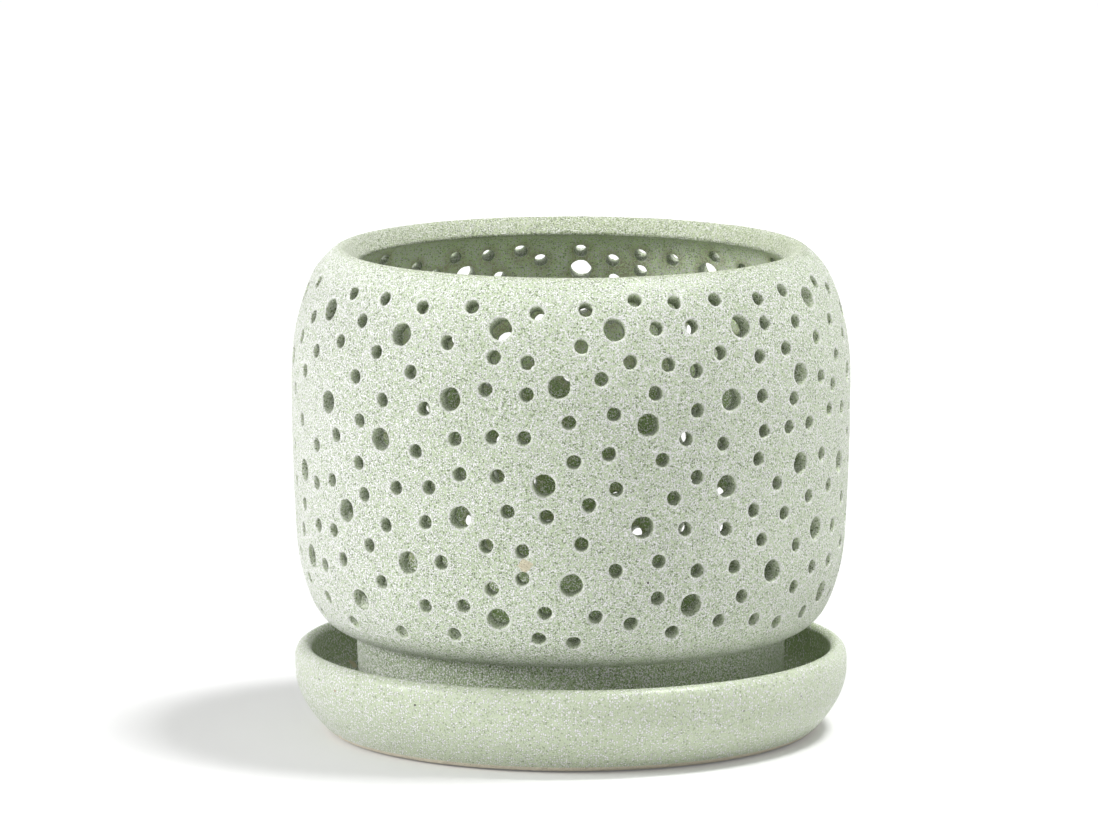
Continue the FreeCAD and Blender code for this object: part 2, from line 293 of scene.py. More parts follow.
class Mesh:
    """Points and faces gathered for one object, with a value of each shade at each point."""

    SHADES = ("inner", "bore", "bare", "burr", "rim", "edge", "under")

    def __init__(self):
        self.points = []
        self.faces = []
        self.shades = {shade: [] for shade in self.SHADES}
        self.count = 0

    def add(self, points, **shades):
        """Adds points and returns their numbers."""
        points = np.asarray(points).reshape(-1, 3)
        self.points.append(points)
        for shade in self.SHADES:
            self.shades[shade].append(np.broadcast_to(shades.get(shade, 0.0), (len(points),)))
        first = self.count
        self.count += len(points)
        return np.arange(first, self.count)

    def bridge(self, low, high):
        """Quads round from one closed row of points to the next."""
        quads = np.stack([low, np.roll(low, -1), np.roll(high, -1), high], axis=1)
        self.faces += quads.tolist()

    def fan(self, row, middle, upward):
        following = np.roll(row, -1)
        for here, there in zip(row.tolist(), following.tolist()):
            self.faces.append((here, there, middle) if upward else (there, here, middle))

    def build(self, name):
        data = bpy.data.meshes.new(name)
        data.from_pydata(np.vstack(self.points).tolist(), [], self.faces)
        data.polygons.foreach_set("use_smooth", np.ones(len(data.polygons), bool))
        for shade in self.SHADES:
            values = np.concatenate(self.shades[shade]).astype(np.float32)
            data.attributes.new(shade, "FLOAT", "POINT").data.foreach_set("value", values)
        data.update()
        piece = bpy.data.objects.new(name, data)
        bpy.context.scene.collection.objects.link(piece)
        return piece


def linked(pairs, count):
    """A label for each of count points, the same for points that pairs join."""
    label = np.arange(count)
    while True:
        lowest = label[pairs].min(axis=1)
        fresh = label.copy()
        np.minimum.at(fresh, pairs[:, 0], lowest)
        np.minimum.at(fresh, pairs[:, 1], lowest)
        fresh = fresh[fresh]
        if (fresh == label).all():
            return label
        label = fresh


def faces_within(mesh, outer, inner, low):
    """Corners, centres and areas of the triangles inside the wall, which are those of its bores."""
    count = len(mesh.polygons)
    centres = np.empty(count * 3)
    mesh.polygons.foreach_get("center", centres)
    centres = centres.reshape(-1, 3)
    areas = np.empty(count)
    mesh.polygons.foreach_get("area", areas)
    corners = np.empty(len(mesh.loops), np.int32)
    mesh.loops.foreach_get("vertex_index", corners)
    radius = np.hypot(centres[:, 0], centres[:, 1])
    height = centres[:, 2]
    outside = np.interp(height, outer[:, 1], outer[:, 0])
    inside = np.interp(height, inner[::-1, 1], inner[::-1, 0])
    within = (radius < outside - BORE_CLEAR) & (radius > inside + BORE_CLEAR) & (height > low)
    return corners.reshape(-1, 3)[within], centres[within], areas[within]


def read_holes(node, skin, outer, inner, start, end):
    """Every hole that goes through the turned wall of a node."""
    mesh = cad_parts[node].data
    low = skin.at(start, skin.height)[0] + BORE_CLEAR
    corners, centres, areas = faces_within(mesh, outer, inner, low)
    places = np.empty(len(mesh.vertices) * 3)
    mesh.vertices.foreach_get("co", places)
    used, corners = np.unique(corners, return_inverse=True)
    places = places.reshape(-1, 3)[used]
    welded, index = np.unique(np.round(places / WELD).astype(np.int64), axis=0, return_inverse=True)
    corners = index.reshape(-1)[corners].reshape(-1, 3)
    label = linked(np.vstack([corners[:, :2], corners[:, 1:]]), len(welded))
    group = label[corners[:, 0]]
    holes = []
    for name in np.unique(group):
        mine = group == name
        centre = np.average(centres[mine], axis=0, weights=areas[mine])
        points = welded[np.unique(corners[mine])] * WELD
        holes.append(fitted_hole(skin, centre, points, start, end))
    return sorted(holes)


def fitted_hole(skin, centre, points, start, end):
    """The hole through a point in the middle of the wall, square to the outside."""
    turn = math.atan2(centre[0], -centre[1]) % FULL_TURN
    offset = skin.radius - math.hypot(centre[0], centre[1]), skin.height - centre[2]
    away = np.hypot(*offset)
    outside = (skin.along > start) & (skin.along < skin.crest)
    inside = (skin.along > skin.crest) & (skin.along < end) & (away < BORE_NEAR)
    first = np.argmin(np.where(outside, away, FAR))
    out, rise = skin.out[first], skin.rise[first]
    beside = np.abs(offset[0] * rise - offset[1] * out)
    last = np.argmin(np.where(inside, beside, FAR))
    axis = np.array([out * math.sin(turn), -out * math.cos(turn), rise])
    across = points - centre
    across = across - np.outer(across @ axis, axis)
    radius = BORE_WIDER_SHARE * float(np.median(np.linalg.norm(across, axis=1)))
    depth = math.hypot(skin.radius[first] - skin.radius[last], skin.height[first] - skin.height[last])
    return Hole(turn, radius, skin.along[first], skin.along[last], tuple(axis), depth)


def distances(skin, turns, along, mouths):
    """How far each point lies from each mouth's middle, along the skin."""
    middle = np.array([(mouth.turn, mouth.along) for mouth in mouths])
    turn = np.abs(np.asarray(turns)[:, None] - middle[:, 0])
    turn = np.minimum(turn, FULL_TURN - turn)
    radius = skin.at(middle[:, 1], skin.radius)[0]
    return np.hypot(turn * radius, np.asarray(along)[:, None] - middle[:, 1])


def mouths_of(skin, holes):
    """The outer and then the inner mouth of every hole, rounded no more than its land allows."""
    mouths = []
    for side, rim in ((1, MOUTH_ROUND), (-1, INNER_ROUND)):
        flat = [Mouth(hole.turn, hole.radius, hole.outer if side > 0 else hole.inner, side, rim)
                for hole in holes]
        apart = distances(skin, [mouth.turn for mouth in flat], [mouth.along for mouth in flat], flat)
        radii = np.array([mouth.radius for mouth in flat])
        land = apart - radii[:, None] - radii[None, :] + FAR * np.eye(len(flat))
        for mouth, least in zip(flat, land.min(axis=1)):
            mouths.append(mouth._replace(rim=min(rim, LAND_SHARE * least)))
    return mouths


def ring_angles(mouth):
    """The angles of the points round a mouth, more of them round a wider one."""
    count = max(RING_FEWEST, round(FULL_TURN * mouth.radius / RING_STEP))
    return np.linspace(0, FULL_TURN, count, endpoint=False)


def ragged(mouth, angles):
    """How the edge of a bore strays from round, as shares of its radius. Both its mouths stray alike."""
    phase = mouth.turn / BORE_PHASE
    oval = BORE_OVAL * np.cos(2 * angles + phase)
    rags = [noise.noise(Vector((BORE_RAGS * math.cos(angle), BORE_RAGS * math.sin(angle), phase)))
            for angle in angles]
    return 1 + oval + BORE_RAGGED * np.array(rags)


def ring(skin, mouth, angles, reach):
    """Turns and arc lengths round a mouth, at a distance from its middle."""
    radius = skin.at(mouth.along, skin.radius)[0]
    return mouth.turn + reach * np.cos(angles) / radius, mouth.along + mouth.side * reach * np.sin(angles)


def free_points(skin, mouths, lip, start, end):
    """Jittered rows of points between the mouths."""
    turns, lengths, gaps = [], [], []
    reach = skin.at(0.5 * (start + skin.crest), skin.radius)[0]
    along = start
    odd = False
    while True:
        near_lip = abs(along - 0.5 * (skin.crest + lip)) < LIP_ZONE
        gap = LIP_GAP if near_lip else OUTER_GAP if along < skin.crest else INNER_GAP
        along += gap * ROW_SHARE
        if along > end - 0.5 * gap:
            break
        count = round(FULL_TURN * reach / gap)
        row = (np.arange(count) + (0.5 if odd else 0.0)) * FULL_TURN / count
        shift = draws.uniform(-POINT_JITTER, POINT_JITTER, (2, count)) * gap
        turns.append(row + shift[0] / reach)
        lengths.append(along + shift[1])
        gaps.append(np.full(count, gap))
        odd = not odd
    turns, lengths, gaps = np.concatenate(turns), np.concatenate(lengths), np.concatenate(gaps)
    kept = np.ones(len(turns), bool)
    apart = distances(skin, turns, lengths, mouths)
    for column, mouth in enumerate(mouths):
        margin = mouth.radius + mouth.rim + (HALO if mouth.side > 0 else 0)
        kept &= apart[:, column] > margin + 0.5 * gaps
    return turns[kept] % FULL_TURN, lengths[kept]


def halo_points(skin, mouths):
    """A loose ring of points round each outer mouth, left out where mouths crowd."""
    turns, lengths = [], []
    margin = np.array([mouth.radius + mouth.rim for mouth in mouths])
    for number, mouth in enumerate(mouths):
        if mouth.side < 0:
            continue
        angles = ring_angles(mouth)
        angles = angles + 0.5 * angles[1]
        turn, along = ring(skin, mouth, angles, mouth.radius + mouth.rim + HALO)
        apart = distances(skin, turn % FULL_TURN, along, mouths)
        apart[:, number] = FAR
        least = margin + HALO_CLEAR
        least[:number] += HALO
        kept = (apart > least).all(axis=1)
        turns.append(turn[kept] % FULL_TURN)
        lengths.append(along[kept])
    return np.concatenate(turns), np.concatenate(lengths)


class Strip:
    """The pierced skin laid out flat by turn and arc length, and triangulated round its mouths."""

    def __init__(self, skin, mouths, lip, start, end):
        columns = np.arange(BORDER_COLUMNS) * FULL_TURN / BORDER_COLUMNS
        self.turns = [columns, columns]
        self.lengths = [np.full(BORDER_COLUMNS, start), np.full(BORDER_COLUMNS, end)]
        for turns, lengths in (free_points(skin, mouths, lip, start, end), halo_points(skin, mouths)):
            self.turns.append(turns)
            self.lengths.append(lengths)
        plain = sum(len(turns) for turns in self.turns)
        self.rings = []
        count = plain
        homes = list(self.turns)
        for mouth in mouths:
            angles = ring_angles(mouth)
            reach = mouth.radius * ragged(mouth, angles) + mouth.rim
            turns, lengths = ring(skin, mouth, angles, reach)
            self.turns.append(turns)
            self.lengths.append(lengths)
            homes.append(np.full(len(angles), mouth.turn))
            self.rings.append(np.arange(count, count + len(angles)))
            count += len(angles)
        self.turns = np.concatenate(self.turns)
        self.lengths = np.concatenate(self.lengths)
        self.homes = np.concatenate(homes)
        self.owner = np.full(count, -1)
        for number, members in enumerate(self.rings):
            self.owner[members] = number
        self.reach = skin.at(0.5 * (start + skin.crest), skin.radius)[0]
        self.triangles = self.triangulated()

    def triangulated(self):
        """Triangles that run on across the seam, with none inside a mouth."""
        margin = SEAM_MARGIN / self.reach
        shifts = ((0, self.homes > -1), (1, self.homes < margin), (-1, self.homes > FULL_TURN - margin))
        flat, source, edges = [], [], []
        for shift, chosen in shifts:
            place = np.full(len(self.homes), -1)
            members = np.nonzero(chosen)[0]
            place[members] = len(source) + np.arange(len(members))
            across = (self.turns[members] + shift * FULL_TURN) * self.reach
            flat += [Vector(point) for point in zip(across / MM, self.lengths[members] / MM)]
            source += members.tolist()
            for members in self.rings:
                if chosen[members[0]]:
                    edges += np.stack([place[members], np.roll(place[members], -1)], axis=1).tolist()
        points, _, faces, origins = delaunay_2d_cdt(flat, edges, [], 0, TRIANGLE_NEAR)[:4]
        faces = np.array(faces)
        points = np.array(points)
        middle = points[faces][:, :, 0].mean(axis=1) * MM / self.reach
        first = np.array([origin[0] if origin else -1 for origin in origins])
        corners = np.array(source)[first[faces]]
        owners = self.owner[corners]
        plugged = (owners[:, 0] >= 0) & (owners[:, 0] == owners[:, 1]) & (owners[:, 1] == owners[:, 2])
        return corners[(middle >= 0) & (middle < FULL_TURN) & ~plugged]


def bore_levels(hole, outer, inner):
    """The rings between a hole's two mouths as (side, reach past the radius, depth under that side)."""
    bend = math.sqrt(0.5)
    return [
        (outer, outer.rim * (1 - bend), outer.rim * (1 - bend)),
        (outer, 0.0, outer.rim),
        (None, 0.0, 0.5 * hole.depth),
        (inner, 0.0, BORE_INNER_RING * inner.rim),
        (inner, 0.0, inner.rim),
        (inner, inner.rim * (1 - bend), inner.rim * (1 - bend)),
    ]


def bore_ring(skin, hole, outer, inner, level):
    """One ring of a bore, a little out of round."""
    side, reach, depth = level
    angles = ring_angles(outer)
    reaches = hole.radius * ragged(outer, angles) + reach
    axis = np.array(hole.axis)
    sides = (outer, inner) if side is None else (side,)
    found = []
    for mouth in sides:
        turns, lengths = ring(skin, mouth, angles, reaches)
        found.append(skin.spots(turns, lengths) - mouth.side * depth * axis)
    return sum(found) / len(found)


def pierce(mesh, skin, holes, mouths, rings):
    """Joins each hole's outer ring to its inner ring by its bore."""
    for number, hole in enumerate(holes):
        outer, inner = mouths[number], mouths[number + len(holes)]
        row = rings[number]
        for level in bore_levels(hole, outer, inner):
            side, reach, depth = level
            points = bore_ring(skin, hole, outer, inner, level)
            roughness = BORE_ROUGHNESS if reach == 0 else 0.0
            points = points + draws.uniform(-1, 1, points.shape) * roughness
            # A bore's colour is painted darker towards the inside, as painted shade.
            if side is None:
                shades = {"bore": 1.0, "inner": BORE_SHADE_MIDDLE}
            elif side.side > 0:
                shades = {"bore": depth / outer.rim, "edge": 1.0 - depth / outer.rim}
            else:
                shades = {"bore": min(BORE_INNER_SHARE * depth / inner.rim, 1.0), "inner": 1.0}
            following = mesh.add(points, **shades)
            mesh.bridge(row, following)
            row = following
        mesh.bridge(row, rings[number + len(holes)])


def ramp(values, low, high):
    """A smooth step from 0 at low to 1 at high."""
    share = np.clip((values - low) / (high - low), 0, 1)
    return share * share * (3 - 2 * share)


def pierced_part(skin, outer, inner, low, high):
    """Arc lengths of the step over the foot, the inner edge of the lip, and the corner of the floor."""
    lower = outer[outer[:, 1] < 0.5 * (low + high)]
    kink = lower[np.argmax(np.diff(lower[:, 0]))]
    rising = skin.along < skin.crest
    start = skin.along[np.argmin(np.where(rising, np.abs(skin.height - kink[1]), FAR))]
    past_crest = (skin.along > skin.crest) & (skin.height > high - LIP_HEIGHT_SHARE * (high - low))
    lip = skin.along[np.argmin(np.where(past_crest, skin.radius, FAR))]
    well_level = low + WELL_SHARE * (high - low)
    well_radius = np.interp(well_level, inner[::-1, 1], inner[::-1, 0])
    near_well = (skin.radius < well_radius + WELL_MARGIN) & (skin.height < 0.5 * high)
    end = skin.along[np.argmax((skin.along > lip) & near_well)]
    return start, lip, end


def make_pot():
    """The pot's skin: its pierced wall over the lip and down to the floor, its bores, and its foot."""
    outer, inner, _ = read_section("pot")
    skin = Skin(np.vstack([outer, inner]), closed=True)
    low, high = [corner.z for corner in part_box("pot")]
    start, lip, end = pierced_part(skin, outer, inner, low, high)
    holes = read_holes("pot", skin, outer, inner, start, end)
    mouths = mouths_of(skin, holes)
    strip = Strip(skin, mouths, lip, start, end)

    mesh = Mesh()
    shade = ramp(strip.lengths, lip, lip + UNDER_FROM)
    shades = {
        "inner": shade,
        "under": shade * (1 - ramp(strip.lengths, lip + UNDER_FROM, lip + UNDER_TO)),
        # The rim: thin glaze on the lip, whose colour there is partly painted shade.
        "rim": ramp(strip.lengths, skin.crest - LIP_SHADE, skin.crest) * (1 - shade),
        "burr": 1.0 * (strip.owner >= len(holes)),
        # A painted highlight, with thin pale glaze, on each outer mouth's ring.
        "edge": 1.0 * ((strip.owner >= 0) & (strip.owner < len(holes))),
    }
    mesh.add(skin.spots(strip.turns, strip.lengths), **shades)
    mesh.faces += strip.triangles.tolist()
    pierce(mesh, skin, holes, mouths, strip.rings)

    columns = strip.turns[:BORDER_COLUMNS]
    row = np.arange(BORDER_COLUMNS, 2 * BORDER_COLUMNS)
    for along in skin.rows(end, skin.length + start, FOOT_ROWS)[1:-1]:
        points = skin.spots(columns, along)
        height = points[:, 2].mean()
        bare = 1.0 - ramp(height, low + SEAT_GLAZE_LINE, low + 2 * SEAT_GLAZE_LINE)
        inside = 1.0 if along < skin.length and height > low + WELL_MARGIN else 0.0
        following = mesh.add(points, inner=inside, bare=bare)
        mesh.bridge(row, following)
        row = following
    mesh.bridge(row, np.arange(BORDER_COLUMNS))
    return mesh.build("pot_glazed")


def make_saucer():
    """The saucer's skin, from the middle of its base round its rim to the middle of its floor."""
    outer, inner, core = read_section("saucer")
    above = inner[inner[:, 1] > core[0]]
    below = inner[inner[:, 1] < core[1]]
    axis_low, axis_high = np.array([(0.0, core[1])]), np.array([(0.0, core[0])])
    skin = SaucerSkin(np.vstack([axis_low, below, outer, above, axis_high]), closed=False)
    columns = np.arange(SAUCER_COLUMNS) * FULL_TURN / SAUCER_COLUMNS
    mesh = Mesh()
    row = None
    for along in skin.rows(0.0, skin.length, SAUCER_ROWS)[1:-1]:
        radius, height = skin.at(along, skin.radius, skin.height)
        points = skin.spots(columns, along)
        line = glaze_line(columns, np.full(SAUCER_COLUMNS, radius))
        bare = 1.0 * ((height < line) & (along < skin.crest))
        following = mesh.add(points, bare=bare, inner=1.0 if along > skin.crest else 0.0)
        if row is None:
            middle = mesh.add([(0.0, 0.0, core[1] + LUMP_DEPTH)], bare=1.0)[0]
            mesh.fan(following, middle, upward=False)
        else:
            mesh.bridge(row, following)
        row = following
    middle = mesh.add([(0.0, 0.0, core[0] - LUMP_DEPTH)], inner=1.0)[0]
    mesh.fan(row, middle, upward=True)
    return mesh.build("saucer_glazed")


# The curve of sRGB colours, without its straight foot.
SRGB_OFFSET = 0.055
SRGB_POWER = 2.4


def colour(red, green, blue):
    """An sRGB colour of 0 to 255 as the linear one that a shader takes."""
    shares = [value / 255 for value in (red, green, blue)]
    return (*[((share + SRGB_OFFSET) / (1 + SRGB_OFFSET)) ** SRGB_POWER for share in shares], 1.0)


# A blot is ragged because distances from its middle are stretched by these factors between these levels of
# a noise. It is full within a share of its size.
BLOT_NOISE = (0.3, 0.7)
BLOT_STRETCH = (0.7, 1.5)
BLOT_FULL = 0.7
SOFT_DETAIL = 2.0


class Nodes:
    """A material, or a world, and the nodes that are added to it."""

    def __init__(self, owner):
        owner.use_nodes = True
        self.tree = owner.node_tree
        self.tree.nodes.clear()

    def add(self, kind, sockets=None, **settings):
        """Adds a node, with a value or a link for each named socket."""
        node = self.tree.nodes.new(kind)
        for name, value in settings.items():
            setattr(node, name, value)
        for name, value in (sockets or {}).items():
            if isinstance(value, bpy.types.NodeSocket):
                self.tree.links.new(value, node.inputs[name])
            else:
                node.inputs[name].default_value = value
        return node

    def maths(self, operation, first, second=0.0):
        return self.add("ShaderNodeMath", {0: first, 1: second}, operation=operation).outputs[0]

    def ramp(self, value, low, high, bottom=0.0, top=1.0):
        """A smooth step from bottom at low to top at high."""
        sockets = {"Value": value, 1: low, 2: high, 3: bottom, 4: top}
        return self.add("ShaderNodeMapRange", sockets, interpolation_type="SMOOTHSTEP").outputs[0]

    def mix(self, share, first, second):
        node = self.add("ShaderNodeMix", {0: share, 6: first, 7: second}, data_type="RGBA")
        return node.outputs[2]

    def noise(self, spot, size, detail, roughness=0.5, distortion=0.0):
        sockets = {
            "Vector": spot,
            "Scale": 1 / size,
            "Detail": detail,
            "Roughness": roughness,
            "Distortion": distortion,
        }
        return self.add("ShaderNodeTexNoise", sockets).outputs[0]

    def cells(self, spot, size):
        """Cells as the distance from the nearest middle, and a random share for each cell."""
        node = self.add("ShaderNodeTexVoronoi", {"Vector": spot, "Scale": 1 / size})
        parts = self.add("ShaderNodeSeparateColor", {0: node.outputs["Color"]})
        return node.outputs["Distance"], parts.outputs[0]

    def shade(self, name):
        return self.add("ShaderNodeAttribute", attribute_name=name).outputs["Fac"]

    def blot(self, spot, place, size):
        """1 on a small blot round a place, and 0 off it."""
        gap = self.add("ShaderNodeVectorMath", {0: spot, 1: place}, operation="DISTANCE")
        ragged = self.noise(spot, size, SOFT_DETAIL)
        stretch = self.ramp(ragged, *BLOT_NOISE, *BLOT_STRETCH)
        away = self.maths("MULTIPLY", gap.outputs["Value"], stretch)
        return self.ramp(away, size, BLOT_FULL * size)


# A glaze has the colours of its body and pools, its crystals and pits, and the painted shade of its depths,
# low on the inside, in the saucer and on the pot's foot. Then come the size of its grain, the level of it
# above which crystals show, the size of its cells, how far a dot fills its cell, the shares of the cells
# that are crystals and pits, how white the crystals and how dark the pits are, how far the foot takes the
# painted shade of the depths, its roughness and its relief. The last colours are those of the inside at the
# top, of the bores near the outside and, painted darker as painted shade, near the inside, and of the rim,
# partly painted shade, which only the pot shows.
WHITE = (1.0, 1.0, 1.0, 1.0)
Glaze = namedtuple("Glaze", (
    "body", "deep", "crystal", "pit", "depths",
    "grain", "sugar", "cell", "reach", "flecks", "holes", "whiteness", "pits", "sheltered",
    "roughness", "bump",
    "inside", "bore", "bore_deep", "rim",
), defaults=(WHITE, WHITE, WHITE, WHITE))
POT_GLAZE = Glaze(
    body=colour(205, 219, 187),
    deep=colour(182, 198, 159),
    crystal=colour(255, 255, 254),
    pit=colour(114, 130, 90),
    depths=colour(156, 178, 122),
    grain=0.44 * MM,
    sugar=0.56,
    cell=0.5 * MM,
    reach=0.56,
    flecks=0.53,
    holes=0.16,
    whiteness=0.95,
    pits=0.9,
    sheltered=0.5,
    roughness=0.5,
    bump=0.38 * MM,
    inside=colour(232, 249, 205),
    bore=colour(212, 225, 191),
    bore_deep=colour(88, 104, 60),
    rim=colour(182, 194, 157),
)
SAUCER_GLAZE = Glaze(
    body=colour(205, 216, 188),
    deep=colour(190, 202, 169),
    crystal=colour(255, 255, 255),
    pit=colour(128, 143, 104),
    # Painted shade: the saucer's inside takes this colour all over.
    depths=colour(176, 193, 148),
    grain=0.48 * MM,
    sugar=0.61,
    cell=0.64 * MM,
    reach=0.54,
    flecks=0.36,
    holes=0.06,
    whiteness=1.0,
    pits=0.7,
    sheltered=0.0,
    roughness=0.36,
    bump=0.3 * MM,
)
BARE_CLAY = colour(244, 239, 222)
BARE_CLAY_DARK = colour(230, 219, 194)
BURR_CLAY = colour(190, 188, 154)
CLAY_GRAIN = 0.7 * MM
CLAY_DETAIL = 4.0

# The clouds in the body, and the glaze on the rim, which has its own colour, greener for its thin glaze and
# darker as painted shade on the lip's lit top, and fewer crystals.
CLOUD_SIZE = 20 * MM
CLOUD_NOISE = (0.35, 0.7)
CLOUD_SHARE = 0.2
RIM_SHARE = 0.9
RIM_THIN = 0.4

# The grain's noise, the levels of it between which pits form, how soft the edges of crystals and of chances
# are, and the share of a dot that is full.
GRAIN_DETAIL = 1.0
GRAIN_ROUGHNESS = 0.6
GRAIN_DISTORTION = 0.3
PIT_GRAIN = (0.385, 0.285)
SUGAR_SOFT = 0.05
CHANCE_SOFT = 0.04
DOT_FULL = 0.7

# The shares of the painted highlight and thin pale glaze on a mouth's edge, of the shadow under the lip, of
# the pits inside and of the crystals in the bores. Burrs show by these shares between these levels of the
# grain, and the bare clay's edge lies between two levels of its shade.
EDGE_GLAZE_HIGHLIGHT_SHARE = 0.5
UNDER_SHARE = 0.6
INSIDE_PITS = 0.7
BORE_WHITE = 0.6
BURR_GRAIN = (0.4, 0.6)
BURR_SHARES = (0.1, 0.9)
BARE_EDGE = (0.35, 0.65)

# The depth of the pits beside the height of the crystals, what crystals and bare clay add to the
# roughness, and the gloss.
PIT_DEPTH = 0.6
CRYSTAL_ROUGHNESS = 0.12
CLAY_ROUGHNESS = 0.35
SPECULAR = 0.5

# The crystals lie thicker towards -X, from the first place to the second, which also paints the lit left
# side lighter, as painted light.
LIT_FROST_FROM = -25 * MM
LIT_FROST_TO = -78 * MM
LIT_FROST_GRAIN = 0.035
LIT_FROST_FLECKS = 0.3

# Inside, the pot is pale near its mouth and painted darker below, as painted shade. Its foot, inside the
# saucer, is painted darker too, as painted shade.
PALE_FROM = 82 * MM
PALE_TO = 102 * MM
FOOT_SHADE_FROM = 31 * MM
FOOT_SHADE_TO = 27 * MM

# Flaws of the glaze, each as a pixel of the photograph, its size and its colour.
DARK = colour(58, 52, 44)
RUST = colour(176, 120, 96)
STRAW = colour(226, 219, 190)
POT_FLAWS = (
    ((757, 297), 0.3 * MM, DARK),
    ((682, 333), 0.35 * MM, DARK),
    ((611, 651), 0.3 * MM, DARK),
    ((436, 637), 0.35 * MM, DARK),
    ((648, 583), 0.35 * MM, DARK),
    ((525, 566), 2.2 * MM, STRAW),
)
SAUCER_FLAWS = (
    ((744, 711), 0.3 * MM, DARK),
    ((801, 696), 0.3 * MM, DARK),
    ((415, 705), 0.42 * MM, DARK),
    ((319, 679), 0.35 * MM, DARK),
    ((335, 691), 0.4 * MM, RUST),
    ((353, 664), 1.6 * MM, STRAW),
)
PHOTO_SIZE = (1098, 824)


def photographed(piece, pixel):
    """The point of a piece that a pixel of the photograph shows."""
    camera = bpy.context.scene.camera
    across = (pixel[0] - PHOTO_SIZE[0] / 2) * CAMERA_SENSOR_MM / PHOTO_SIZE[0]
    down = (pixel[1] - PHOTO_SIZE[1] / 2) * CAMERA_SENSOR_MM / PHOTO_SIZE[0]
    ray = camera.rotation_euler.to_matrix() @ Vector((across, -down, -CAMERA_LENS_MM))
    tree = BVHTree.FromPolygons([vertex.co for vertex in piece.data.vertices],
                                [polygon.vertices[:] for polygon in piece.data.polygons])
    return tree.ray_cast(camera.location, ray.normalized())[0]


